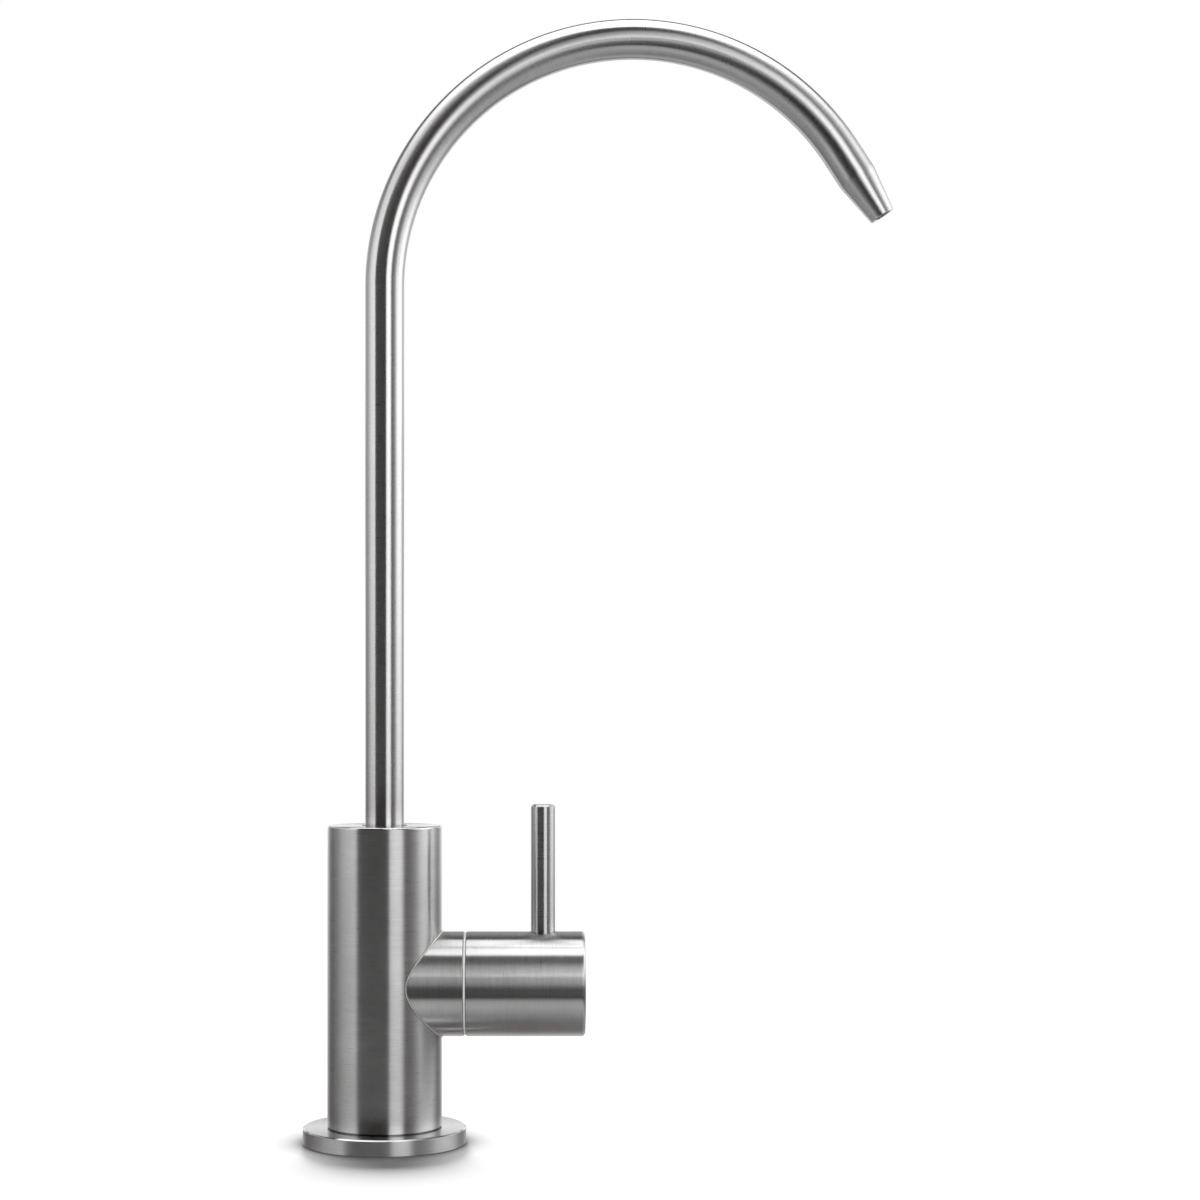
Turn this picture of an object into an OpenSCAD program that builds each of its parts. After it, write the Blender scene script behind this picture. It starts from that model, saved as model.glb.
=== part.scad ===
// Drinking-water tap for an under-sink filter: a round deck flange, an upright barrel with a side
// valve branch, a lever hub on that branch and a swivelling gooseneck spout.
// The origin is on the barrel's axis at the deck surface. +Z is up, and +X runs along the valve's
// axis towards the lever. The lever stands upright, which is closed, and the spout points along +X.

/* [Spout] */
// Outside diameter of the spout tube
spout_d = 10; // [9:0.1:11]
// Wall of the spout tube
spout_wall = 1; // [0.6:0.1:1.3]
// Bend radius on the tube's centre line
bend_r = 63.5; // [45:0.5:80]
// Height of the bend's centre above the deck
bend_z = 218.6; // [150:0.2:280]
// Angle that the tube bends through
bend_sweep = 147; // [100:1:175]
// Straight length between the bend and the nozzle
nozzle_run = 7.6; // [4:0.2:20]
// Length of the tapered nozzle
nozzle_len = 11.8; // [8:0.2:20]
// Outside diameter of the nozzle's tip
nozzle_d = 6.5; // [5.5:0.1:8]
// Wall of the nozzle's tip
nozzle_wall = 0.9; // [0.6:0.1:1.2]
// Growth of the tube's wall, inside and outside, where the nozzle is swaged
swage = 0.03; // [0.02:0.01:0.1]
// Radial room between the spout tube and the barrel's top bore
spout_margin = 0.8; // [0.6:0.05:1.5]
// Length of the brass ferrule on the tube's foot
ferrule_len = 14; // [12:0.5:16]
// Depth of the ferrule's socket that holds the tube
ferrule_socket = 5; // [4:0.5:6]
// Waterway through the ferrule
ferrule_bore = 6.5; // [5:0.1:7]
// Gap between the ferrule and the floor of its bore
ferrule_lift = 1; // [0.5:0.1:2]
// Length of the ferrule below its first O-ring
ferrule_land = 1.3; // [0.8:0.1:2]
// Thickness of the circlip above the ferrule
circlip_t = 1; // [0.8:0.1:1.2]
// Depth of the circlip in the barrel's wall
circlip_bite = 0.7; // [0.5:0.1:1]
// Depth of the spout bush below the barrel's top
bush_recess = 0.8; // [0.4:0.1:2]

/* [Barrel] */
// Outside diameter of the barrel
barrel_d = 29.2; // [28:0.1:34]
// Height of the barrel's top above the deck
barrel_top = 81.05; // [78:0.05:100]
// Rounding of the barrel's top edge
barrel_edge = 0.5; // [0.2:0.1:1]
// Width and height of the relief round the barrel's foot
barrel_foot = 0.35; // [0.2:0.05:0.6]
// Solid web between the valve chamber and the spout's bore
spout_web = 7; // [5:0.5:8]
// Wall of the barrel round the shank's head
foot_wall = 3.1; // [2.5:0.1:4]

/* [Flange] */
// Outside diameter of the deck flange
flange_d = 41.7; // [38:0.1:60]
// Height of the deck flange
flange_h = 4.1; // [3:0.1:6]
// Rounding of the flange's top edge
flange_edge = 0.4; // [0.2:0.1:0.8]
// Metal rim outside the gasket, on the flange's underside
gasket_rim = 3.5; // [2:0.5:5]
// Width of the flange gasket
gasket_w = 4; // [2:0.5:5]
// Depth of the gasket's groove
gasket_t = 1.2; // [0.8:0.1:2]

/* [Valve] */
// Distance from the barrel's top down to the valve's axis
valve_drop = 40.45; // [37:0.05:44]
// Step in from the barrel's radius to that of the branch and the lever hub
branch_step = 1.3; // [0.8:0.1:2]
// Length of the branch beyond the barrel's side
branch_len = 5.65; // [5:0.05:9]
// Wall of the branch round its threaded mouth
branch_wall = 2.3; // [1.8:0.1:2.8]
// Step in from the threaded mouth to the valve chamber
mouth_step = 2; // [1.5:0.1:2.4]
// Solid wall between the valve seat and the inlet drilling
seat_web = 1; // [0.8:0.1:1.5]
// Diameter of the inlet drilling and of the port in the seat
inlet_d = 6; // [4:0.1:6.5]
// Diameter of the drilling from the valve chamber up to the spout
outlet_d = 5; // [4:0.1:5.5]
// Depth of the threaded mouth that takes the bonnet nut
mouth_depth = 8.25; // [7:0.05:9]

/* [Cartridge] */
// Thickness of the seat seal
seal_t = 2; // [1.5:0.1:2.5]
// Thickness of each ceramic disc
disc_t = 2.7; // [2.2:0.1:3]
// Wall of the cartridge round the discs
cartridge_wall = 1.4; // [1.2:0.1:1.8]
// Wall of a ceramic disc inside and outside each of its ports
port_wall = 0.9; // [0.7:0.1:1.2]
// Width of the ears that key the fixed disc
ear_w = 2.4; // [1.5:0.1:3]
// Height of those ears
ear_h = 0.7; // [0.4:0.1:1]
// Width of the key that drives the moving disc
key_w = 3; // [2:0.1:3.4]
// Depth of the key in the moving disc
key_depth = 1.2; // [0.8:0.1:1.5]
// Length of the water windows in the cartridge's wall
window_len = 3.4; // [2.5:0.1:3.6]
// Width of the water windows
window_w = 8; // [5:0.5:10]
// Thickness of the spindle's collar
collar_t = 1.4; // [1:0.1:1.6]
// Thickness of the thrust washer
thrust_t = 0.8; // [0.5:0.1:1]
// Step in from the spindle's collar to its shaft
collar_step = 2.4; // [2:0.1:2.8]
// Step in from the spindle's shaft to its tang in the hub
tang_step = 0.5; // [0.3:0.1:1]
// Depth of the flat on the tang
tang_flat = 0.5; // [0.3:0.1:1]
// Length of the spindle's guide below the cartridge's flange
guide_land = 2.9; // [2.6:0.1:4]
// Wall of the bonnet nut
bonnet_wall = 3.5; // [2.5:0.1:4]
// Depth of the cartridge's neck inside the branch's end face
neck_back = 1.6; // [1.5:0.1:2]
// Thickness of the cartridge's flange
bonnet_flange = 1.5; // [1:0.1:2]
// Thickness of the spindle's retaining clip
clip_t = 0.8; // [0.6:0.1:1]

/* [Lever handle] */
// Gap between branch and hub, filled by the white ring
ring_gap = 0.75; // [0.5:0.05:1.5]
// Depth of the white ring's edge below the metal around it
ring_recess = 0.25; // [0.1:0.05:0.5]
// Length of the ring's spigot inside the branch
ring_spigot = 1.2; // [0.8:0.1:1.3]
// Length of the lever hub
hub_len = 30.2; // [28:0.1:40]
// Rounding of the hub's end edge
hub_edge = 0.9; // [0.4:0.1:2]
// Diameter of the lever rod
lever_d = 6.2; // [5:0.1:8]
// Distance from the hub's inner face to the lever's axis
lever_offset = 19.5; // [17:0.1:22]
// Height of the lever's top above the valve's axis
lever_top = 45.8; // [35:0.2:70]
// Rounding of the lever's top edge
lever_edge = 0.7; // [0.3:0.1:1.5]
// Metal between the tang's bore and the hole of the lever's stud
lever_wall = 1.5; // [1:0.1:3]
// Depth of the lever's seat below the hub's top
lever_seat = 3.3; // [2.5:0.1:4.5]
// Diameter of the lever's threaded stud
stud_d = 4; // [3:0.5:4.5]
// Length of the lever's threaded stud
stud_len = 6; // [4:0.5:7]
// Diameter of the grub screw
grub_d = 4; // [3:0.5:5]
// Depth of the grub screw's end below the hub's surface
grub_sink = 3.75; // [2:0.05:6]
// Width across the flats of the grub screw's socket
grub_key = 2; // [1.5:0.1:2.2]

/* [Shank and deck clamp] */
// Diameter of the threaded shank
shank_d = 11.1; // [10:0.1:12]
// Waterway through the shank
shank_bore = 6; // [4:0.5:7]
// Length of the shank below the deck surface
shank_len = 55; // [50:1:80]
// Height of the shank's head
head_h = 8; // [6:0.5:9]
// Height of the water chamber above the head
well_h = 4; // [3:0.5:6]
// Thickness of the deck that is clamped
deck_t = 20; // [5:1:28]
// Diameter of the clamp washers
clamp_d = 30; // [26:0.5:40]
// Thickness of the rubber clamp washer
clamp_rubber_t = 3; // [2:0.5:4]
// Thickness of the steel clamp washer
clamp_steel_t = 1.5; // [1:0.5:2]
// Outside diameter of the spring lock washer
lock_d = 17; // [16:0.5:19]
// Thickness of the spring lock washer
lock_t = 2; // [1.5:0.5:2.5]
// Width across the flats of the mounting nut
nut_af = 16; // [15:0.5:19]
// Height of the mounting nut
nut_h = 6; // [5:0.5:7]

/* [Push-fit inlet] */
// Outside diameter of the supply tube
supply_d = 6.35; // [5.8:0.05:6.6]
// Play round the supply tube, on the radius
supply_play = 0.075; // [0.05:0.005:0.15]
// Thread engagement of the adapter on the shank
adapter_grip = 10; // [8:0.5:12]
// Width across the flats of the adapter's grip
adapter_af = 17; // [16:0.5:20]
// Diameter of the adapter's collar
adapter_d = 15.5; // [14.6:0.1:17]
// Thickness of the face seal under the shank
face_seal_t = 1.5; // [1:0.1:2]
// Thickness of the web that stops the tube
stop_web = 3.5; // [2:0.5:5]
// Waterway through that web
stop_bore = 4.5; // [3:0.1:5]
// Length of the tube's pocket above its seal
pocket_len = 6; // [4:0.5:9]
// Wall of the release collet
collet_wall = 1.35; // [1:0.05:1.5]
// Travel of the release collet
collet_travel = 1.5; // [1:0.1:2]
// Height of the collet's bead and of its press flange
collet_rim = 2; // [1.5:0.1:2.5]
// Height of the lip that holds the collet
lip_h = 3; // [2:0.1:4]
// Step out from the collet to its bead
bead_step = 0.6; // [0.4:0.1:0.8]
// Diameter of the collet's press flange
press_d = 13; // [12:0.1:14]

/* [Seals and clearances] */
// Section of the spout's O-rings
spout_ring = 1.2; // [0.8:0.1:1.3]
// Section of the valve's O-rings
valve_ring = 1.6; // [1.2:0.1:1.7]
// Section of the tube seal in the adapter
supply_ring = 1.8; // [1.5:0.1:2]
// Spare width of an O-ring's groove
ring_play = 0.3; // [0.2:0.05:0.4]
// Land beside the cartridge's O-ring groove
ring_land = 0.4; // [0.3:0.1:0.6]
// Land beside the spindle's first O-ring groove
spindle_land = 1.55; // [1:0.05:2]
// Radial clearance of pieces that stay together
fit_gap = 0.05; // [0.03:0.01:0.08]
// Radial clearance of pieces that turn or slide
run_gap = 0.06; // [0.04:0.01:0.09]
// Water film between faces that slide on each other
film = 0.03; // [0.02:0.01:0.05]
// Free gap beside pieces that move without guiding each other
free_gap = 0.3; // [0.25:0.05:0.4]

/* [Hidden] */
$fn = 96;
over = 1;

// Diameters that step in from the barrel's
valve_d = barrel_d - 2 * branch_step;
mouth_d = valve_d - 2 * branch_wall;
chamber_d = mouth_d - 2 * mouth_step;
head_d = barrel_d - 2 * foot_wall;
neck_d = mouth_d - 2 * bonnet_wall;
body_r = chamber_d / 2 - fit_gap;
disc_bore_r = body_r - cartridge_wall;
disc_r = disc_bore_r - fit_gap;
moving_r = disc_r - free_gap;
collar_r = moving_r - free_gap;
spindle_d = 2 * (collar_r - collar_step);
tang_d = spindle_d - 2 * tang_step;
guide_r = spindle_d / 2 + run_gap;
ear_r = disc_r + ear_h;
port_d = disc_r - key_w / 2 - 2 * port_wall;
port_r = (disc_r + key_w / 2) / 2;

// Valve axis, from the cartridge's flange back to the seat
valve_z = barrel_top - valve_drop;
branch_end = barrel_d / 2 + branch_len;
mouth_x = branch_end - mouth_depth;
guide_x = mouth_x - guide_land;
thrust_x = guide_x - thrust_t;
collar_x = thrust_x - film - collar_t;
drive_x = collar_x - window_len;
moving_x = drive_x - film - disc_t;
disc_x = moving_x - film - disc_t;
seat_x = disc_x - seal_t;
inlet_x = seat_x - seat_web - inlet_d / 2;
valve_ring_w = valve_ring + ring_play;
bore_ring_x = guide_x + ring_land + valve_ring_w / 2;
spindle_ring_x = guide_x + spindle_land + valve_ring_w / 2;
spindle_rings = [spindle_ring_x, spindle_ring_x + 2 * valve_ring_w];

// Valve axis, from the branch's end outwards
neck_x = branch_end - neck_back;
clip_x = neck_x + film;
tang_x = clip_x + 2 * clip_t;
hub_x = branch_end + ring_gap;
lever_x = hub_x + lever_offset;
tang_end = lever_x - stud_d / 2 - lever_wall;
grub_x = (hub_x + tang_end) / 2;
grub_tip = tang_d / 2 - tang_flat + fit_gap;

// Spout, from the bore's floor upwards
spout_in = spout_d - 2 * spout_wall;
spout_bore_r = spout_d / 2 + spout_margin;
ferrule_r = spout_bore_r - run_gap;
spout_floor = valve_z + chamber_d / 2 + spout_web;
ferrule_z = spout_floor + ferrule_lift;
tube_z = ferrule_z + ferrule_len - ferrule_socket;
circlip_z = ferrule_z + ferrule_len + film;
circlip_r = spout_bore_r + circlip_bite;
bush_z = circlip_z + circlip_t + 2 * film;
bush_end = barrel_top - bush_recess;
spout_ring_w = spout_ring + ring_play;
spout_ring_z = ferrule_z + ferrule_land + spout_ring_w / 2;
spout_rings = [spout_ring_z, spout_ring_z + 2 * spout_ring_w];
bend_end = 180 - bend_sweep;
nozzle_at = [bend_r + bend_r * cos(bend_end), 0, bend_z + bend_r * sin(bend_end)];

// Foot of the barrel and the deck clamp, from the flange downwards
head_z = flange_h + film;
well_top = head_z + head_h + well_h;
head_ring_z = head_z + head_h / 2;
clamp_bore = shank_d + 2 * free_gap;
rubber_z = -deck_t - clamp_rubber_t;
steel_z = rubber_z - clamp_steel_t;
lock_z = steel_z - lock_t;
nut_z = lock_z - nut_h;
gasket_r = flange_d / 2 - gasket_rim;

// Push-fit adapter, from the shank's end downwards
adapter_top = -shank_len + adapter_grip;
stop_top = -shank_len - face_seal_t;
pocket_top = stop_top - stop_web;
seal_top = pocket_top - pocket_len;
seal_w = supply_ring + ring_play;
supply_r = supply_d / 2 + supply_play;
collet_r = supply_r + collet_wall;
bead_r = collet_r + bead_step;
cage_top = seal_top - seal_w;
bead_top = cage_top - collet_travel - free_gap;
lip_top = bead_top - collet_rim - film;
adapter_end = lip_top - lip_h;
press_top = adapter_end - collet_travel - film;
collet_end = press_top - collet_rim;

// Round bar from z0 to z1
module bar(r, z0, z1) {
    translate([0, 0, z0]) cylinder(r = r, h = z1 - z0);
}

// Ring from z0 to z1
module ring(r_out, r_in, z0, z1) {
    difference() {
        bar(r_out, z0, z1);
        bar(r_in, z0 - over, z1 + over);
    }
}

// O-ring of round section whose outside reaches r_out
module oring(r_out, section, z) {
    translate([0, 0, z]) rotate_extrude() translate([r_out - section / 2, 0]) circle(d = section);
}

// Cutter for an O-ring groove that opens outwards
module groove(r_out, section, width, z) {
    ring(r_out + over, r_out - section - fit_gap, z - width / 2, z + width / 2);
}

// Bar from z0 to z1 whose far edge is rounded
module rounded_bar(r, z0, z1, edge) {
    translate([0, 0, z0]) rotate_extrude() {
        square([r, z1 - z0 - edge]);
        square([r - edge, z1 - z0]);
        translate([r - edge, z1 - z0 - edge]) intersection() {
            circle(r = edge);
            square(edge);
        }
    }
}

// Hexagonal bar from z0 to z1
module hex_bar(across_flats, z0, z1) {
    translate([0, 0, z0]) cylinder(d = across_flats / cos(30), h = z1 - z0, $fn = 6);
}

// Places a piece drawn along +Z on the valve's axis: its +Z becomes +X and its -X points up
module on_valve_axis() {
    translate([0, 0, valve_z]) rotate([0, 90, 0]) children();
}

// Bores that the barrel and the branch share: the valve chamber and the bonnet's threaded mouth
module valve_bores() {
    on_valve_axis() {
        bar(chamber_d / 2, seat_x, branch_end + over);
        bar(mouth_d / 2, mouth_x, branch_end + over);
    }
}

// Deck flange, a turned stainless disc with a groove underneath for its gasket
module base_flange() {
    color("silver") difference() {
        rounded_bar(flange_d / 2, 0, flange_h, flange_edge);
        bar(clamp_bore / 2, -over, flange_h + over);
        ring(gasket_r + fit_gap, gasket_r - gasket_w - fit_gap, -over, gasket_t);
    }
}

// Flat rubber gasket, flush with the flange's underside
module flange_gasket() {
    color("dimgray") ring(gasket_r, gasket_r - gasket_w, 0, gasket_t);
}

// Barrel, turned from stainless bar and drilled for the shank, the valve and the spout
module barrel() {
    color("silver") difference() {
        rounded_bar(barrel_d / 2, flange_h, barrel_top, barrel_edge);
        ring(barrel_d / 2 + over, barrel_d / 2 - barrel_foot, flange_h - over, flange_h + barrel_foot);
        bar(head_d / 2 + fit_gap, flange_h - over, well_top);
        translate([inlet_x, 0, 0]) bar(inlet_d / 2, well_top - over, valve_z + inlet_d / 2);
        on_valve_axis() bar(inlet_d / 2, inlet_x, seat_x + over);
        valve_bores();
        translate([drive_x, 0, 0]) bar(outlet_d / 2, valve_z, spout_floor + over);
        bar(spout_bore_r, spout_floor, barrel_top + over);
        bar(circlip_r + fit_gap, circlip_z - film, circlip_z + circlip_t + film);
    }
}

// Valve branch, a stub whose fish-mouth end is brazed to the barrel
module valve_branch() {
    color("silver") difference() {
        on_valve_axis() bar(valve_d / 2, 0, branch_end);
        bar(barrel_d / 2 + fit_gap, valve_z - valve_d, valve_z + valve_d);
        valve_bores();
    }
}

// Rubber seal between the valve seat and the fixed disc
module seat_seal() {
    color("black") on_valve_axis() ring(body_r, port_r + port_d / 2 + free_gap, seat_x, disc_x);
}

// Ceramic disc that stays still, keyed to the cartridge by two ears
module fixed_disc() {
    color("whitesmoke") on_valve_axis() difference() {
        union() {
            bar(disc_r, disc_x, disc_x + disc_t);
            translate([-ear_r, -ear_w / 2, disc_x]) cube([2 * ear_r, ear_w, disc_t]);
        }
        for (side = [-1, 1]) translate([0, side * port_r, 0]) bar(port_d / 2, disc_x - over, moving_x);
    }
}

// Brass cartridge body: disc chamber, water windows, spindle guide, flange and neck
module cartridge_body() {
    color("goldenrod") on_valve_axis() difference() {
        union() {
            bar(body_r, disc_x, mouth_x + over);
            bar(mouth_d / 2 - fit_gap, mouth_x, mouth_x + bonnet_flange);
            bar(neck_d / 2, mouth_x, neck_x);
        }
        bar(disc_bore_r, disc_x - over, guide_x);
        bar(guide_r, guide_x - over, neck_x + over);
        translate([-ear_r - fit_gap, -ear_w / 2 - fit_gap, disc_x - over])
            cube([2 * (ear_r + fit_gap), ear_w + 2 * fit_gap, disc_t + over]);
        translate([-chamber_d, -window_w / 2, drive_x]) cube([2 * chamber_d, window_w, window_len]);
        groove(body_r, valve_ring, valve_ring_w, bore_ring_x);
    }
}

// O-ring between the cartridge and the valve chamber
module cartridge_oring() {
    color("black") on_valve_axis() oring(body_r, valve_ring, bore_ring_x);
}

// Acetal washer that takes the spindle's thrust
module thrust_washer() {
    color("white") on_valve_axis() ring(disc_r, spindle_d / 2 + free_gap, thrust_x, guide_x);
}

// Threaded brass ring that clamps the cartridge's flange in the branch
module bonnet_nut() {
    face = branch_end - ring_spigot - film;
    color("goldenrod") on_valve_axis() difference() {
        ring(mouth_d / 2 - fit_gap, neck_d / 2 + fit_gap, mouth_x + bonnet_flange, face);
        translate([-mouth_d, -ear_w / 2, face - ear_w]) cube([2 * mouth_d, ear_w, ear_w + over]);
    }
}

// White acetal ring that closes the gap between branch and hub and rubs on the hub
module trim_ring() {
    color("white") on_valve_axis() difference() {
        union() {
            bar(valve_d / 2 - ring_recess, branch_end, hub_x - film);
            bar(mouth_d / 2 - fit_gap, branch_end - ring_spigot, branch_end + film);
        }
        bar(neck_d / 2 + free_gap, branch_end - ring_spigot - over, hub_x + over);
    }
}

// Spring-steel circlip in the barrel's bore, above the spout's ferrule
module spout_circlip() {
    color("gray") difference() {
        ring(circlip_r, spout_d / 2 + free_gap, circlip_z, circlip_z + circlip_t);
        translate([0, -circlip_t, circlip_z - over])
            cube([2 * circlip_r, 2 * circlip_t, circlip_t + 2 * over]);
    }
}

// Acetal bush that guides the spout tube in the barrel's top
module spout_bush() {
    color("dimgray") ring(spout_bore_r - fit_gap, spout_d / 2 + run_gap, bush_z, bush_end);
}

// Stainless shank with a threaded head inside the barrel and a hollow threaded stem below the deck
module inlet_shank() {
    color("silver") difference() {
        union() {
            bar(head_d / 2, head_z, head_z + head_h);
            bar(shank_d / 2, -shank_len, head_z + over);
        }
        bar(shank_bore / 2, -shank_len - over, head_z + head_h + over);
        groove(head_d / 2, valve_ring, valve_ring_w, head_ring_z);
    }
}

// O-ring round the shank's head
module shank_oring() {
    color("black") oring(head_d / 2, valve_ring, head_ring_z);
}

// Rubber washer against the deck's underside
module clamp_gasket() {
    color("dimgray") ring(clamp_d / 2, clamp_bore / 2, rubber_z, -deck_t);
}

// Stainless washer that spreads the nut's load
module clamp_washer() {
    color("silver") ring(clamp_d / 2, clamp_bore / 2, steel_z, rubber_z);
}

// Split spring washer under the nut
module lock_washer() {
    color("gray") difference() {
        ring(lock_d / 2, clamp_bore / 2, lock_z, steel_z);
        translate([0, -lock_t / 2, lock_z - over]) cube([lock_d, lock_t, lock_t + 2 * over]);
    }
}

// Hexagonal stainless nut on the shank
module mounting_nut() {
    color("silver") difference() {
        hex_bar(nut_af, nut_z, lock_z);
        bar(shank_d / 2 + fit_gap, nut_z - over, lock_z + over);
    }
}

// Rubber face seal between the shank's end and the adapter
module face_seal() {
    color("black") ring(shank_d / 2, shank_bore / 2, stop_top, -shank_len);
}

// Acetal adapter from the shank's thread to the push-fit tube socket
module inlet_adapter() {
    color("whitesmoke") difference() {
        union() {
            hex_bar(adapter_af, stop_top, adapter_top);
            bar(adapter_d / 2, adapter_end, stop_top + over);
        }
        bar(shank_d / 2 + fit_gap, stop_top, adapter_top + over);
        bar(stop_bore / 2, pocket_top - over, stop_top + over);
        bar(supply_r, seal_top - over, pocket_top);
        bar(supply_r + supply_ring + fit_gap, cage_top - over, seal_top);
        bar(bead_r + free_gap, lip_top, cage_top);
        bar(collet_r + run_gap, adapter_end - over, lip_top + over);
    }
}

// O-ring that seals on the supply tube
module tube_seal() {
    color("black") oring(supply_r + supply_ring, supply_ring, seal_top - seal_w / 2);
}

// Spout, bent from stainless tube; swaging the nozzle has thickened the wall of its straight end
module spout_tube() {
    color("silver") {
        translate([0, 0, bend_z]) rotate([180, 0, 0]) ring(spout_d / 2, spout_in / 2, 0, bend_z - tube_z);
        translate([bend_r, 0, bend_z]) rotate([90, 0, 0]) mirror([1, 0, 0])
            rotate_extrude(angle = bend_sweep) translate([bend_r, 0]) difference() {
                circle(d = spout_d);
                circle(d = spout_in);
            }
        translate(nozzle_at) rotate([0, bend_sweep, 0]) {
            ring(spout_d / 2 + swage, spout_in / 2 - swage, -over, nozzle_run);
            translate([0, 0, nozzle_run]) difference() {
                cylinder(d1 = spout_d + 2 * swage, d2 = nozzle_d, h = nozzle_len);
                cylinder(d1 = spout_in - 2 * swage, d2 = nozzle_d - 2 * nozzle_wall, h = nozzle_len);
            }
        }
    }
}

// Brass ferrule brazed on the tube's foot, grooved for two O-rings
module spout_ferrule() {
    color("goldenrod") difference() {
        bar(ferrule_r, ferrule_z, ferrule_z + ferrule_len);
        bar(ferrule_bore / 2, ferrule_z - over, tube_z + over);
        bar(spout_d / 2 + fit_gap, tube_z, ferrule_z + ferrule_len + over);
        for (z = spout_rings) groove(ferrule_r, spout_ring, spout_ring_w, z);
    }
}

// Two O-rings on the ferrule
module spout_orings() {
    color("black") for (z = spout_rings) oring(ferrule_r, spout_ring, z);
}

// Lever hub, bored for the tang and drilled for the lever and the grub screw
module lever_hub() {
    color("silver") difference() {
        on_valve_axis() rounded_bar(valve_d / 2, hub_x, hub_x + hub_len, hub_edge);
        on_valve_axis() bar(tang_d / 2 + fit_gap, hub_x - over, tang_end);
        translate([lever_x, 0, valve_z]) {
            bar(lever_d / 2 + fit_gap, valve_d / 2 - lever_seat, valve_d / 2 + over);
            bar(stud_d / 2 + fit_gap, valve_d / 2 - lever_seat - stud_len - fit_gap, valve_d / 2);
        }
        translate([grub_x, 0, valve_z]) bar(grub_d / 2 + fit_gap, -valve_d / 2 - over, 0);
    }
}

// Lever, a turned stainless rod with a threaded stud in the hub
module lever_rod() {
    color("silver") translate([lever_x, 0, valve_z]) {
        rounded_bar(lever_d / 2, valve_d / 2 - lever_seat, lever_top, lever_edge);
        bar(stud_d / 2, valve_d / 2 - lever_seat - stud_len, valve_d / 2 - lever_seat + over);
    }
}

// Socket-headed grub screw that locks the hub on the tang's flat
module grub_screw() {
    foot = grub_sink - valve_d / 2;
    color("gray") translate([grub_x, 0, valve_z]) difference() {
        bar(grub_d / 2, foot, -grub_tip);
        hex_bar(grub_key, foot - over, (foot - grub_tip) / 2);
    }
}

// Brass spindle: key, drive bar, collar, guided shaft with grooves, and tang
module valve_spindle() {
    color("goldenrod") on_valve_axis() difference() {
        union() {
            intersection() {
                bar(collar_r, moving_x, collar_x + film);
                union() {
                    translate([-key_w / 2, -disc_r, drive_x - key_depth]) cube([key_w, 2 * disc_r, disc_r]);
                    translate([-key_w / 2 - free_gap, -disc_r, drive_x])
                        cube([key_w + 2 * free_gap, 2 * disc_r, disc_r]);
                }
            }
            bar(collar_r, collar_x, collar_x + collar_t);
            bar(spindle_d / 2, collar_x, tang_x);
            bar(tang_d / 2, collar_x, tang_end - fit_gap);
        }
        for (x = spindle_rings) groove(spindle_d / 2, valve_ring, valve_ring_w, x);
        ring(spindle_d, spindle_d / 2 - clip_t, clip_x, clip_x + clip_t + film);
        translate([tang_d / 2 - tang_flat, -tang_d, hub_x]) cube([tang_d, 2 * tang_d, tang_end]);
    }
}

// Ceramic disc that turns with the spindle
module moving_disc() {
    color("whitesmoke") on_valve_axis() difference() {
        bar(moving_r, moving_x, moving_x + disc_t);
        for (side = [-1, 1]) translate([side * port_r, 0, 0]) bar(port_d / 2, disc_x, drive_x + over);
        translate([-key_w / 2 - fit_gap, -disc_r, drive_x - film - key_depth])
            cube([key_w + 2 * fit_gap, 2 * disc_r, disc_r]);
    }
}

// Two O-rings on the spindle
module spindle_orings() {
    color("black") on_valve_axis() for (x = spindle_rings) oring(spindle_d / 2, valve_ring, x);
}

// Clip that keeps the spindle in the cartridge
module spindle_clip() {
    clip_r = spindle_d / 2;
    color("gray") on_valve_axis() difference() {
        ring(clip_r + clip_t, clip_r - clip_t + fit_gap, clip_x + film / 2, clip_x + film / 2 + clip_t);
        translate([0, -spindle_d / 4, clip_x - over]) cube([spindle_d, spindle_d / 2, clip_t + 2 * over]);
    }
}

// Acetal collet that grips the supply tube and lets go when its flange is pressed in
module release_collet() {
    color("lightsteelblue") difference() {
        union() {
            bar(collet_r, collet_end, bead_top);
            bar(bead_r, bead_top - collet_rim, bead_top);
            bar(press_d / 2, collet_end, press_top);
        }
        bar(supply_r, collet_end - over, bead_top + over);
    }
}

base_flange();
flange_gasket();
barrel();
valve_branch();
seat_seal();
fixed_disc();
cartridge_body();
cartridge_oring();
thrust_washer();
bonnet_nut();
trim_ring();
spout_circlip();
spout_bush();
inlet_shank();
shank_oring();
clamp_gasket();
clamp_washer();
lock_washer();
mounting_nut();
face_seal();
inlet_adapter();
tube_seal();
spout_tube();
spout_ferrule();
spout_orings();
lever_hub();
lever_rod();
grub_screw();
valve_spindle();
moving_disc();
spindle_orings();
spindle_clip();
release_collet();
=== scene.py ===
import math

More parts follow.
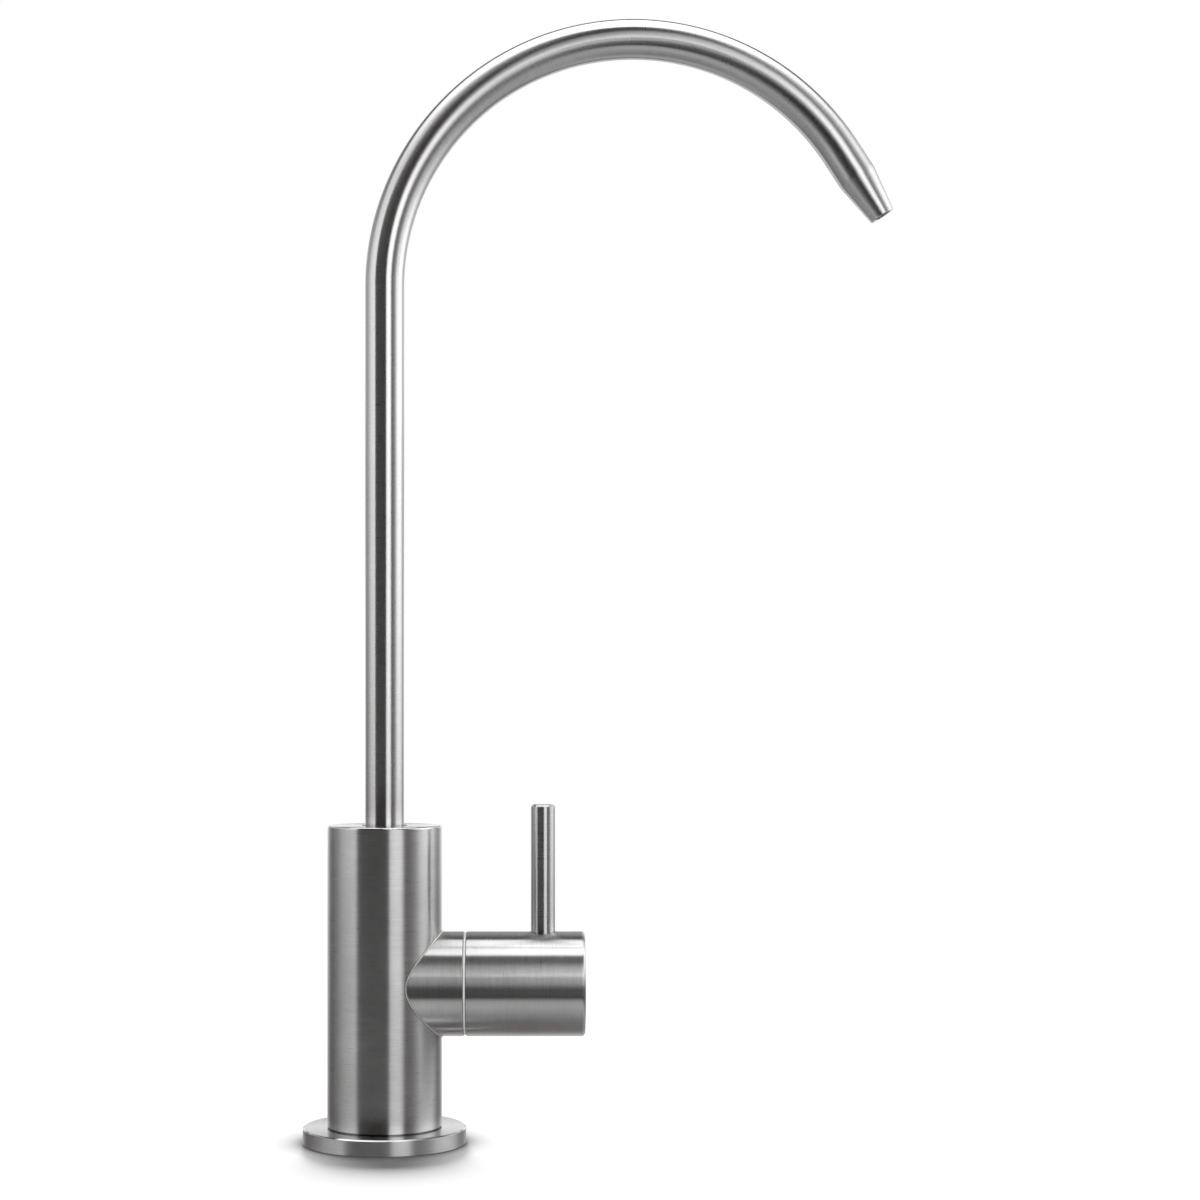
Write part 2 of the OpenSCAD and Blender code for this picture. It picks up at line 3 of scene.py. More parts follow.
import bmesh
import bpy
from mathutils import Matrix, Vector


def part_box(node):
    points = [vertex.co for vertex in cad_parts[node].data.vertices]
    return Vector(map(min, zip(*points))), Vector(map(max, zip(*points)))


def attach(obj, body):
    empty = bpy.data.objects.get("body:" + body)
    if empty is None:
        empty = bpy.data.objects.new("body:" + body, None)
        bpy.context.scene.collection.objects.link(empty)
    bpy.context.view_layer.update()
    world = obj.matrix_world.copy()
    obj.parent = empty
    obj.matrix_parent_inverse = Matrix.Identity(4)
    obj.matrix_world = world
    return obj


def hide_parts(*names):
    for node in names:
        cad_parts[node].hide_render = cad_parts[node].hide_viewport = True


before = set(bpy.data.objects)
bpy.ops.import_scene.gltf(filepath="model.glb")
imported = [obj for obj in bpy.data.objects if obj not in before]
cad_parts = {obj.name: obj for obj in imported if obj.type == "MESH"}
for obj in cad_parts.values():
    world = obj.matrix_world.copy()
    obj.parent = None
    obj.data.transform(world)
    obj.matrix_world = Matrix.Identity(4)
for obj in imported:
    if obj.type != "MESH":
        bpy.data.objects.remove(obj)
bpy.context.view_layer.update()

# Deck flange
# A disc turned from stainless bar. Its face is polished almost to a mirror and its rim keeps the fine
# lines of the lathe. The shank pulls it down on the deck, over a flat gasket in a groove underneath.
MM = 0.001
flange_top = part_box("base_flange")[1].z
# The last of these is the dark colour of the shade painted into the joints.
bare_steel, worn_steel, joint_shade_colour = "#CCCCCC", "#B9B8B8", "#2A2725"


def linear(colour):
    """Linear RGBA from an sRGB hex value."""
    channels = [int(colour[i:i + 2], 16) / 255 for i in (1, 3, 5)]
    return [c / 12.92 if c <= 0.04045 else ((c + 0.055) / 1.055) ** 2.4 for c in channels] + [1.0]


def add(tree, kind, inputs=None, **settings):
    """Adds a node. Each entry of inputs is a value for that socket or an output to link to it."""
    node = tree.nodes.new(kind)
    for name, value in settings.items():
        setattr(node, name, value)
    for key, value in (inputs or {}).items():
        if isinstance(value, bpy.types.NodeSocket):
            tree.links.new(value, node.inputs[key])
        else:
            node.inputs[key].default_value = value
    return node


def shaded_in_joints(tree, colour):
    """Paints shade into a colour in the joints between pieces, where nearby surfaces hide the sky within
    about half a millimetre. The colour turns the dark joint colour where less than a third of the sky
    reaches."""
    joint, black, bare = 0.45, 0.32, 0.78
    open_sky = add(tree, "ShaderNodeAmbientOcclusion", {"Distance": joint * MM}, samples=8)
    unshaded = add(tree, "ShaderNodeMapRange",
                {"Value": open_sky.outputs["AO"], "From Min": black, "From Max": bare})
    return add(tree, "ShaderNodeMix", {0: unshaded.outputs[0], 6: linear(joint_shade_colour), 7: colour},
               data_type="RGBA").outputs[2]


def scratched_steel(name, axis, centre=(0, 0), blank=False, rough=(0.27, 0.33), across=1.0, bump=0.06,
                    worn=worn_steel, face=None):
    """Stainless steel brushed round an axis: scratches run round the piece, so a highlight is drawn out
    along it. The lines are 0.2 mm wide, coarser than the real 0.05 mm ones, so that they show. Painted shade
    darkens the joints. face is a height in metres above which the steel is polished. A blank keeps the
    scratches it had before it was bent."""
    line, streak, cloud, depth = 0.2 * MM, 5.0 * MM, 14.0 * MM, 0.02 * MM
    quarter_turn, polish, blend = 0.25, 0.4, 0.1 * MM
    worn_below, bare_above, faint_line, strong_line = 0.12, 0.36, 0.3, 0.7
    material = bpy.data.materials.new(name)
    material.use_nodes = True
    tree = material.node_tree
    shader = tree.nodes["Principled BSDF"]
    if blank:
        place = add(tree, "ShaderNodeAttribute", attribute_name="blank").outputs["Vector"]
        grain = add(tree, "ShaderNodeTangent", direction_type="UV_MAP", uv_map="lay")
    else:
        place = add(tree, "ShaderNodeTexCoord").outputs["Object"]
        grain = add(tree, "ShaderNodeTangent", direction_type="RADIAL", axis=axis)
        shader.inputs["Anisotropic Rotation"].default_value = quarter_turn
    turn = (0, -math.pi / 2, 0) if axis == "X" else (0, 0, 0)
    shift = (centre[1], 0, 0) if axis == "X" else (-centre[0], 0, 0)
    upright = add(tree, "ShaderNodeMapping", {"Vector": place, "Location": shift, "Rotation": turn})
    parts = add(tree, "ShaderNodeSeparateXYZ", {0: upright.outputs[0]})
    flat = add(tree, "ShaderNodeVectorMath", {0: upright.outputs[0], 1: (1, 1, 0)}, operation="MULTIPLY")
    radius = add(tree, "ShaderNodeVectorMath", {0: flat.outputs[0]}, operation="LENGTH")
    along = add(tree, "ShaderNodeMath", {0: parts.outputs["Z"], 1: radius.outputs["Value"]}, operation="ADD")
    wrapped = add(tree, "ShaderNodeCombineXYZ",
                  {"X": parts.outputs["X"], "Y": parts.outputs["Y"], "Z": along.outputs[0]})
    fine = add(tree, "ShaderNodeMapping",
               {"Vector": wrapped.outputs[0], "Scale": (1 / streak, 1 / streak, 1 / line)})
    lines = add(tree, "ShaderNodeTexNoise",
                {"Vector": fine.outputs[0], "Scale": 1.0, "Detail": 4.0, "Roughness": 0.65}).outputs["Fac"]
    smudge = add(tree, "ShaderNodeTexNoise", {"Vector": place, "Scale": 1 / cloud, "Detail": 3.0})
    tone = add(tree, "ShaderNodeMath", {0: lines, 1: smudge.outputs["Fac"]}, operation="MULTIPLY")
    tone = add(tree, "ShaderNodeMapRange",
               {"Value": tone.outputs[0], "From Min": worn_below, "From Max": bare_above})
    metal = add(tree, "ShaderNodeMix", {0: tone.outputs[0], 6: linear(worn), 7: linear(bare_steel)},
                data_type="RGBA")
    dull = add(tree, "ShaderNodeMapRange", {"Value": lines, "From Min": faint_line, "From Max": strong_line,
               "To Min": rough[0], "To Max": rough[1]}).outputs[0]
    if face is not None:
        edge = add(tree, "ShaderNodeMapRange", {"Value": parts.outputs["Z"], "From Min": face - blend,
                   "From Max": face, "To Min": 1.0, "To Max": polish})
        dull = add(tree, "ShaderNodeMath", {0: dull, 1: edge.outputs[0]}, operation="MULTIPLY").outputs[0]
    ridge = add(tree, "ShaderNodeBump", {"Height": lines, "Strength": bump, "Distance": depth})
    # The base colour gets shade painted into the joints.
    tree.links.new(shaded_in_joints(tree, metal.outputs[2]), shader.inputs["Base Color"])
    tree.links.new(dull, shader.inputs["Roughness"])
    tree.links.new(ridge.outputs[0], shader.inputs["Normal"])
    tree.links.new(grain.outputs[0], shader.inputs["Tangent"])
    shader.inputs["Metallic"].default_value = 1.0
    shader.inputs["Anisotropic"].default_value = across
    return material


def dress(material, *names):
    """Gives CAD nodes whose shape is right a finish."""
    for name in names:
        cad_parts[name].material_slots[0].material = material


sharp_edge, weld = math.radians(40), 0.0001 * MM


def turned(name, outline, place, segments=168):
    """A solid of revolution. The outline is a list of (radius, height) points, or a function that gives
    one for an angle. It is a closed loop, or starts and ends on the axis."""
    bm = bmesh.new()
    lay = bm.loops.layers.uv.new("lay")
    angles = [math.tau * k / segments for k in range(segments)]
    sections = [outline(angle) if callable(outline) else outline for angle in angles]
    rings = [[bm.verts.new(place(r, angle, h)) for r, h in points]
             for angle, points in zip(angles, sections)]
    count = len(rings[0])
    runs = count if sections[0][0][0] > 0 else count - 1
    for k in range(segments):
        here, there = rings[k], rings[(k + 1) % segments]
        for i in range(runs):
            j = (i + 1) % count
            face = bm.faces.new((here[i], there[i], there[j], here[j]))
            face.smooth = True
            corners = ((i, k), (i, k + 1), (i + 1, k + 1), (i + 1, k))
            for loop, (u, v) in zip(face.loops, corners):
                loop[lay].uv = (u / runs, v / segments)
    bmesh.ops.remove_doubles(bm, verts=bm.verts, dist=weld)
    bmesh.ops.recalc_face_normals(bm, faces=bm.faces)
    mesh = bpy.data.meshes.new(name)
    bm.to_mesh(mesh)
    bm.free()
    mesh.set_sharp_from_angle(angle=sharp_edge)
    piece = bpy.data.objects.new(name, mesh)
    bpy.context.scene.collection.objects.link(piece)
    return piece


def settle(piece, material, body, slot, *stands_for):
    """Gives a finished piece its material and body, and hides the CAD nodes that it stands for. slot is not
    used.
    """
    piece.data.materials.clear()
    piece.data.materials.append(material)
    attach(piece, body)
    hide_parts(*stands_for)


def rounded(corners, steps=6):
    """Points of an outline whose corners are (radius, height, fillet). A short hold beside each fillet
    keeps the faces next to it flat in the light."""
    hold = 0.08 * MM
    points = []
    for i, (r, h, fillet) in enumerate(corners):
        corner = Vector((r, h))
        if not fillet:
            points.append((r, h))
            continue
        back = (Vector(corners[i - 1][:2]) - corner).normalized()
        ahead = (Vector(corners[(i + 1) % len(corners)][:2]) - corner).normalized()
        half = back.angle(ahead) / 2
        reach = fillet / math.tan(half)
        centre = corner + (back + ahead).normalized() * fillet / math.sin(half)
        first, last = corner + back * reach, corner + ahead * reach
        points.append(tuple(first + back * hold))
        for k in range(steps + 1):
            spoke = (first - centre).normalized().slerp((last - centre).normalized(), k / steps)
            points.append(tuple(centre + spoke * fillet))
        points.append(tuple(last + ahead * hold))
    return points


def standing_at(x, y=0.0):
    """Places points round an upright axis at x and y."""
    return lambda radius, angle, height: (x + radius * math.cos(angle), y + radius * math.sin(angle), height)


flange_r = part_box("base_flange")[1].x
gasket_r, gasket_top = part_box("flange_gasket")[1].x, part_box("flange_gasket")[1].z
deck_bore, gasket_width, groove_gap = 5.85 * MM, 4.0 * MM, 0.05 * MM
groove_in, groove_out = gasket_r - gasket_width - groove_gap, gasket_r + groove_gap
edge_in, edge_down, edge_ease = 0.4 * MM, 0.32 * MM, 0.06 * MM
flange = turned("deck_flange_turned", rounded([
    (deck_bore, 0, 0), (groove_in, 0, 0), (groove_in, gasket_top, 0), (groove_out, gasket_top, 0),
    (groove_out, 0, 0), (flange_r, 0, edge_ease), (flange_r, flange_top - edge_down, edge_ease),
    (flange_r - edge_in, flange_top, edge_ease), (deck_bore, flange_top, 0)]), standing_at(0), segments=240)
# Polished stainless: the face mirrors the room sharply, and the rim blurs it along fine lathe lines.
polished_steel = scratched_steel("polished_turned_stainless", "Z", rough=(0.34, 0.4), bump=0.03,
                                 face=flange_top - edge_down)
settle(flange, polished_steel, "tap_body", "stainless_polished", "base_flange")


def moulded(name, colours, rough, speck=0.6, bump=0.1, glow=0.0, joint_shading=False):
    """A moulded or sintered surface: a faint mottle of two tones, and a fine grain of the size speck in mm.
    glow lets light a little way in, and the last flag paints shade into the joints."""
    cloud, pit, glow_depth, spread = 6 * MM, 0.05 * MM, 0.3 * MM, 0.08
    material = bpy.data.materials.new(name)
    material.use_nodes = True
    tree = material.node_tree
    shader = tree.nodes["Principled BSDF"]
    place = add(tree, "ShaderNodeTexCoord").outputs["Object"]
    grain = add(tree, "ShaderNodeTexNoise", {"Vector": place, "Scale": 1 / (speck * MM), "Detail": 4.0})
    mottle = add(tree, "ShaderNodeTexNoise", {"Vector": place, "Scale": 1 / cloud, "Detail": 2.0})
    colour = add(tree, "ShaderNodeMix",
                 {0: mottle.outputs["Fac"], 6: linear(colours[0]), 7: linear(colours[1])}, data_type="RGBA")
    dull = add(tree, "ShaderNodeMapRange",
               {"Value": grain.outputs["Fac"], "To Min": rough - spread, "To Max": rough + spread})
    pits = add(tree, "ShaderNodeBump",
               {"Height": grain.outputs["Fac"], "Strength": bump, "Distance": pit})
    # Painted shade in the joints, where the flag asks for it.
    shade = shaded_in_joints(tree, colour.outputs[2]) if joint_shading else colour.outputs[2]
    tree.links.new(shade, shader.inputs["Base Color"])
    tree.links.new(dull.outputs[0], shader.inputs["Roughness"])
    tree.links.new(pits.outputs[0], shader.inputs["Normal"])
    shader.inputs["Subsurface Weight"].default_value = glow
    shader.inputs["Subsurface Scale"].default_value = glow_depth
    return material


# Nitrile rubber from a mould: near black and matt, with a faint grain.
rubber = moulded("nitrile_rubber", ("#161616", "#232221"), rough=0.62)
dress(rubber, "flange_gasket")

# Barrel
# The upright body, turned from stainless bar and brushed round on the lathe. It is drilled for the
# shank, the valve and the spout, and a shallow relief round its foot draws a thin dark line.
barrel_top, top_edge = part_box("barrel")[1].z, 0.45 * MM
# Brushed stainless: soft upright bands of light, crossed by fine level scratches, and a bright edge on top.
brushed_steel = scratched_steel("brushed_stainless_bar", "Z", face=barrel_top - top_edge)
dress(brushed_steel, "barrel")

# Valve branch
# A stub of the same bar lying on the valve's axis. Its end is cut to a fish-mouth that fits the barrel
# and is brazed there, which leaves a fine bright bead. The outer edge has a small chamfer.
barrel_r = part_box("barrel")[1].x
branch_low, branch_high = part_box("valve_branch")
valve_r = branch_high.y
valve_z = (branch_low.z + branch_high.z) / 2
braze_gap = 0.05 * MM
chamfer, bead_r = 0.1 * MM, 0.19 * MM
branch_wall = 2.3 * MM
mouth_r = valve_r - branch_wall


def on_valve(radius, angle, height):
    """A point round the valve's axis, which lies along X."""
    return height, radius * math.cos(angle), valve_z + radius * math.sin(angle)


def fish_mouth(radius, angle):
    """Where a line along the branch, at this radius and angle, meets the barrel."""
    return math.sqrt((barrel_r + braze_gap) ** 2 - (radius * math.cos(angle)) ** 2)


def branch_outline(angle):
    """The branch's section at this angle, from the fish-mouth to the chamfered end."""
    return [(mouth_r, fish_mouth(mouth_r, angle)), (valve_r, fish_mouth(valve_r, angle)),
            (valve_r, branch_high.x - chamfer), (valve_r - chamfer, branch_high.x), (mouth_r, branch_high.x)]


def bead_outline(angle):
    """The bead's round section at this angle, half sunk into the corner of branch and barrel."""
    sunk_r, sunk_x, sides = 0.4, 0.5, 12
    middle_r = valve_r + bead_r * sunk_r
    middle_x = fish_mouth(middle_r, angle) + bead_r * sunk_x
    turns = [math.tau * k / sides for k in range(sides)]
    return [(middle_r + bead_r * math.sin(bow), middle_x + bead_r * math.cos(bow)) for bow in turns]


branch = turned("branch_stub", branch_outline, on_valve)
# The same brushing laid round the valve's axis, so that the bands of light lie level.
brushed_branch = scratched_steel("brushed_stainless_branch", "X", (0, valve_z))
settle(branch, brushed_branch, "tap_body", "stainless_brushed", "valve_branch")
bead = turned("braze_bead", bead_outline, on_valve)
# Silver braze as it froze: a pale, slightly lumpy metal that glints as a thin line.
silver_braze = moulded("silver_braze", ("#E6E4E0", "#F2F0EC"), rough=0.5, speck=0.3, bump=0.2)
silver_braze.node_tree.nodes["Principled BSDF"].inputs["Metallic"].default_value = 1.0
settle(bead, silver_braze, "tap_body", "stainless_brushed")

# Valve cartridge
# A quarter-turn ceramic valve, shut inside the branch: two sintered alumina discs, a brass body and
# spindle, an acetal thrust washer, rubber seals, and a brass ring nut that clamps it all in place.
brass_tones = "#B89552", "#D0AE69"
# Sintered alumina: ivory white and smooth.
ceramic = moulded("sintered_alumina", ("#F1EEE6", "#E4E0D6"), rough=0.35, speck=0.2, bump=0.03)
# White acetal: milky, with a soft sheen, because light goes a little way in.
acetal_white = moulded("white_acetal", ("#F4F4F1", "#E9E9E6"), rough=0.38, bump=0.05, glow=0.1)
# Spring steel as rolled: plain grey, with hardly any lay.
spring_steel = scratched_steel("spring_steel", "Z", rough=(0.3, 0.42), across=0.2)


def machined_brass(name):
    """Free-cutting brass as it leaves the lathe: warm yellow, a little tarnished, with fine tool marks."""
    material = moulded(name, brass_tones, rough=0.3, speck=0.4, bump=0.08)
    material.node_tree.nodes["Principled BSDF"].inputs["Metallic"].default_value = 1.0
    return material


brass = machined_brass("turned_brass")
dress(rubber, "seat_seal", "cartridge_oring", "spindle_orings")
dress(ceramic, "fixed_disc", "moving_disc")
dress(brass, "cartridge_body", "bonnet_nut", "valve_spindle")
dress(acetal_white, "thrust_washer")
dress(spring_steel, "spindle_clip")

# White trim ring
# A thin acetal ring that fills the gap between branch and hub, so that steel never rubs on steel.
# It shows as one fine white line, set back a little from the metal on both sides.
ring_low, ring_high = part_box("trim_ring")
ring_ease, spigot_r, spindle_hole_r = 0.18 * MM, mouth_r - braze_gap, 7.8 * MM
ring = turned("white_trim_ring", rounded([
    (spindle_hole_r, ring_low.x, 0), (spigot_r, ring_low.x, 0), (spigot_r, branch_high.x, 0),
    (ring_high.y, branch_high.x, ring_ease), (ring_high.y, ring_high.x, ring_ease),
    (spindle_hole_r, ring_high.x, 0)]), on_valve)
# Moulded acetal, with shade painted into the joints on both sides, which draws a dark line along each edge.
ring_white = moulded("white_acetal_ring", ("#F7F7F5", "#EFEFEC"), rough=0.38, bump=0.05, glow=0.1, joint_shading=True)
settle(ring, ring_white, "tap_body", "acetal_white", "trim_ring")

# Lever hub
# A stub of stainless bar, brushed like the branch, that turns on the valve's spindle. Its outer end is
# closed, with a rounded edge, and the lever's seat is drilled into its top.
hub_low, hub_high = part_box("lever_hub")
lever_low, lever_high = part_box("lever_rod")
lever_x, lever_r = (lever_low.x + lever_high.x) / 2, (lever_high.x - lever_low.x) / 2
hub_round, tang_r, tang_short = 0.9 * MM, 4.05 * MM, 3.5 * MM
tang_end = lever_x - tang_short
seat_gap, seat_depth = 0.22 * MM, 3.3 * MM


def drilled(piece, *drills):
    """Cuts the drills' solids out of a piece and removes the drills."""
    for drill in drills:
        cut = piece.modifiers.new("drill", "BOOLEAN")
        cut.object = drill
        cut.operation = "DIFFERENCE"
        cut.solver = "EXACT"
    depsgraph = bpy.context.evaluated_depsgraph_get()
    mesh = bpy.data.meshes.new_from_object(piece.evaluated_get(depsgraph), depsgraph=depsgraph)
    piece.modifiers.clear()
    piece.data = mesh
    mesh.set_sharp_from_angle(angle=sharp_edge)
    for drill in drills:
        bpy.data.objects.remove(drill)


grub_low, grub_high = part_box("grub_screw")
grub_x, grub_r = (grub_low.x + grub_high.x) / 2, (grub_high.x - grub_low.x) / 2 + braze_gap
hub = turned("lever_hub_turned", rounded([
    (0, tang_end, 0), (tang_r, tang_end, 0), (tang_r, hub_low.x, 0), (valve_r, hub_low.x, chamfer),
    (valve_r, hub_high.x, hub_round), (0, hub_high.x, 0)]), on_valve)
seat_z, seat_r = valve_z + valve_r - seat_depth, lever_r + seat_gap
above_hub, below_hub = hub_high.z * 1.1, hub_low.z * 0.9
seat_drill = turned("seat_drill", [(0, seat_z), (seat_r, seat_z), (seat_r, above_hub), (0, above_hub)],
                    standing_at(lever_x), segments=96)
grub_drill = turned("grub_drill", [(0, below_hub), (grub_r, below_hub), (grub_r, valve_z), (0, valve_z)],
                    standing_at(grub_x), segments=96)
drilled(hub, seat_drill, grub_drill)
# Brushed like the branch: level bands of light, crossed by fine scratches round the axis.
brushed_hub = scratched_steel("brushed_stainless_hub", "X", (0, valve_z))
settle(hub, brushed_hub, "handle", "stainless_brushed", "lever_hub")
dress(spring_steel, "grub_screw")

# Lever
# A thin turned and polished stainless rod, screwed into the hub by a stud. Its free end has a small
# chamfer, which catches the light as a bright ring.
stud_r = 2.0 * MM
lever_chamfer, lever_ease = 0.55 * MM, 0.12 * MM
lever = turned("lever_rod_turned", rounded([
    (0, lever_low.z, 0), (stud_r, lever_low.z, 0), (stud_r, seat_z, 0), (lever_r, seat_z, 0),
    (lever_r, lever_high.z - lever_chamfer, lever_ease), (lever_r - lever_chamfer, lever_high.z, lever_ease),
    (0, lever_high.z, 0)]), standing_at(lever_x), segments=96)
# Polished stainless rod: sharp upright bands from near black to white, with barely visible lines round it.
polished_worn = "#C5C4C4"
polished_lever = scratched_steel("polished_stainless_rod", "Z", (lever_x, 0), rough=(0.27, 0.29), bump=0.005,
                                 worn=polished_worn)
settle(lever, polished_lever, "handle", "stainless_tube", "lever_rod")

# Spout fittings
# Inside the barrel's top the spout turns in a black acetal bush. A brass ferrule with two O-rings is
# brazed on its foot, and a spring-steel circlip keeps it from being pulled out.
dress(brass, "spout_ferrule")
dress(rubber, "spout_orings")
dress(spring_steel, "spout_circlip")
# Black acetal: dark grey, with a soft sheen.
acetal_black = moulded("black_acetal", ("#1A1A1B", "#242425"), rough=0.42)
dress(acetal_black, "spout_bush")

# Spout
# A drawn stainless tube, polished round its length. Its end is first swaged down to a nozzle and
# eased at the lip, and the straight blank is then bent to the gooseneck round one big radius.
spout_low, spout_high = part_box("spout_tube")
tube_r, tube_wall = -spout_low.x, 1.0 * MM
bend_r, bend_angle = 63.5 * MM, math.radians(147)
straight_end, taper = 7.6 * MM, 11.8 * MM
tip_r, tip_wall = 3.25 * MM, 0.9 * MM
swage_round, lip_ease, bend_step = 9.0 * MM, 0.16 * MM, 1.6 * MM
riser = spout_high.z - tube_r - bend_r - spout_low.z
blank_length = riser + bend_r * bend_angle + straight_end + taper
swage_at = blank_length - taper


def divided(points, step):
    """Adds points along an outline so that none of its runs is longer than step."""
    made = []
    for (r0, h0), (r1, h1) in zip(points, points[1:] + points[:1]):
        parts = max(1, math.ceil(math.hypot(r1 - r0, h1 - h0) / step))
        made += [(r0 + (r1 - r0) * k / parts, h0 + (h1 - h0) * k / parts) for k in range(parts)]
    return made


blank = turned("gooseneck_tube", divided(rounded([
    (tube_r - tube_wall, 0, 0), (tube_r, 0, 0), (tube_r, swage_at, swage_round),
    (tip_r, blank_length, lip_ease), (tip_r - tip_wall, blank_length, lip_ease),
    (tube_r - tube_wall, swage_at, swage_round)]), bend_step), standing_at(0), segments=72)


def new_tree(name, sizes):
    """A geometry tree with a geometry socket each way and a named input for each size."""
    tree = bpy.data.node_groups.new(name, "GeometryNodeTree")
    tree.interface.new_socket("Geometry", in_out="INPUT", socket_type="NodeSocketGeometry")
    for size in sizes:
        tree.interface.new_socket(size, in_out="INPUT", socket_type="NodeSocketFloat")
    tree.interface.new_socket("Geometry", in_out="OUTPUT", socket_type="NodeSocketGeometry")
    return tree, add(tree, "NodeGroupInput").outputs


def close_tree(tree, geometry, material):
    """Ends a tree in plain geometry with its material."""
    real = add(tree, "GeometryNodeRealizeInstances", {0: geometry})
    named = add(tree, "GeometryNodeSetMaterial", {"Geometry": real.outputs[0], "Material": material})
    add(tree, "NodeGroupOutput", {0: named.outputs[0]})


def run_tree(piece, tree, sizes):
    """Runs a tree on a piece with these sizes and keeps the result as its mesh."""
    modifier = piece.modifiers.new(tree.name, "NODES")
    modifier.node_group = tree
    for socket in tree.interface.items_tree:
        if socket.name in sizes:
            modifier[socket.identifier] = sizes[socket.name]
    depsgraph = bpy.context.evaluated_depsgraph_get()
    mesh = bpy.data.meshes.new_from_object(piece.evaluated_get(depsgraph), depsgraph=depsgraph)
    piece.modifiers.remove(modifier)
    piece.data = mesh


# Polished stainless tube: bands of light that follow the bend, with barely visible lines round the tube.
polished_tube = scratched_steel("polished_stainless_tube", "Z", blank=True, rough=(0.27, 0.29), bump=0.005,
                                worn=polished_worn)
bender = {"Foot height": spout_low.z, "Straight length": riser, "Bend radius": bend_r,
          "Bend angle": bend_angle}
# Past the straight length each point swings round the bend's pivot by its own distance along the blank.
tree, sizes = new_tree("tube_bender", bender)
before = add(tree, "GeometryNodeInputPosition").outputs[0]
kept = add(tree, "GeometryNodeStoreNamedAttribute",
           {"Geometry": sizes["Geometry"], "Name": "blank", "Value": before}, data_type="FLOAT_VECTOR")
spot = add(tree, "ShaderNodeSeparateXYZ", {0: before}).outputs
past = add(tree, "ShaderNodeMath", {0: spot["Z"], 1: sizes["Straight length"]}, operation="SUBTRACT")
past = add(tree, "ShaderNodeMath", {0: past.outputs[0], 1: 0.0}, operation="MAXIMUM")
swing = add(tree, "ShaderNodeMath", {0: past.outputs[0], 1: sizes["Bend radius"]}, operation="DIVIDE")
swing = add(tree, "ShaderNodeMath", {0: swing.outputs[0], 1: sizes["Bend angle"]}, operation="MINIMUM")
used = add(tree, "ShaderNodeMath", {0: swing.outputs[0], 1: sizes["Bend radius"]}, operation="MULTIPLY")
level = add(tree, "ShaderNodeMath", {0: spot["Z"], 1: used.outputs[0]}, operation="SUBTRACT")
level = add(tree, "ShaderNodeMath", {0: level.outputs[0], 1: sizes["Foot height"]}, operation="ADD")
lifted = add(tree, "ShaderNodeCombineXYZ", {"X": spot["X"], "Y": spot["Y"], "Z": level.outputs[0]})
pivot_z = add(tree, "ShaderNodeMath", {0: sizes["Straight length"], 1: sizes["Foot height"]},
              operation="ADD")
pivot = add(tree, "ShaderNodeCombineXYZ", {"X": sizes["Bend radius"], "Z": pivot_z.outputs[0]})
bent = add(tree, "ShaderNodeVectorRotate", {"Vector": lifted.outputs[0], "Center": pivot.outputs[0],
           "Angle": swing.outputs[0]}, rotation_type="Y_AXIS")
shaped = add(tree, "GeometryNodeSetPosition", {"Geometry": kept.outputs[0], "Position": bent.outputs[0]})
close_tree(tree, shaped.outputs[0], polished_tube)
run_tree(blank, tree, bender)
settle(blank, polished_tube, "spout", "stainless_tube", "spout_tube")

# Shank
# A hollow stainless stem that screws into the barrel's foot and passes through the deck. A fine
# right-hand thread is cut along it, running out below the flange, for the nut and the inlet adapter.
shank_low, shank_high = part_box("inlet_shank")
head_gap, stem_r, waterway_r = 0.03 * MM, 5.55 * MM, 3.0 * MM
head_r, head_low = shank_high.x, flange_top + head_gap
groove_depth, groove_half, groove_z = 1.65 * MM, 0.95 * MM, (head_low + shank_high.z) / 2
thread = {"Pitch": 1.06 * MM, "Depth": 0.6 * MM, "Run-out": 2.0 * MM,
          "Thread start": shank_low.z, "Thread end": -4.0 * MM, "Major radius": stem_r}
lead_in, half_pitch, crest_flat, root_flat = 1 * MM, 0.5, 0.07, 0.43
thread_step, on_skin = thread["Pitch"] / 8, 0.01 * MM
shank = turned("threaded_shank", divided([
    (waterway_r, shank_low.z), (stem_r, shank_low.z), (stem_r, head_low), (head_r, head_low),
    (head_r, groove_z - groove_half), (head_r - groove_depth, groove_z - groove_half),
    (head_r - groove_depth, groove_z + groove_half), (head_r, groove_z + groove_half),
    (head_r, shank_high.z), (waterway_r, shank_high.z)], thread_step), standing_at(0), segments=72)
# Stainless as turned: plain tool lines and a broader highlight that is less drawn out.
turned_steel = scratched_steel("turned_stainless", "Z", rough=(0.24, 0.36), across=0.3, bump=0.12)
# The skin of the stem sinks in by a groove that climbs one pitch each turn, fades out at its upper end
# and starts from a chamfer at its lower end.
tree, sizes = new_tree("thread_cutter", thread)
before = add(tree, "GeometryNodeInputPosition").outputs[0]
spot = add(tree, "ShaderNodeSeparateXYZ", {0: before}).outputs
flat = add(tree, "ShaderNodeCombineXYZ", {"X": spot["X"], "Y": spot["Y"]})
reach = add(tree, "ShaderNodeVectorMath", {0: flat.outputs[0]}, operation="LENGTH").outputs["Value"]
around = add(tree, "ShaderNodeMath", {0: spot["Y"], 1: spot["X"]}, operation="ARCTAN2")
around = add(tree, "ShaderNodeMath", {0: around.outputs[0], 1: math.tau}, operation="DIVIDE")
climb = add(tree, "ShaderNodeMath", {0: spot["Z"], 1: sizes["Pitch"]}, operation="DIVIDE")
phase = add(tree, "ShaderNodeMath", {0: climb.outputs[0], 1: around.outputs[0]}, operation="SUBTRACT")
flank = add(tree, "ShaderNodeMath", {0: phase.outputs[0], 1: half_pitch}, operation="PINGPONG")
groove = add(tree, "ShaderNodeMapRange",
             {"Value": flank.outputs[0], "From Min": crest_flat, "From Max": root_flat})
fade_from = add(tree, "ShaderNodeMath", {0: sizes["Thread end"], 1: sizes["Run-out"]}, operation="SUBTRACT")
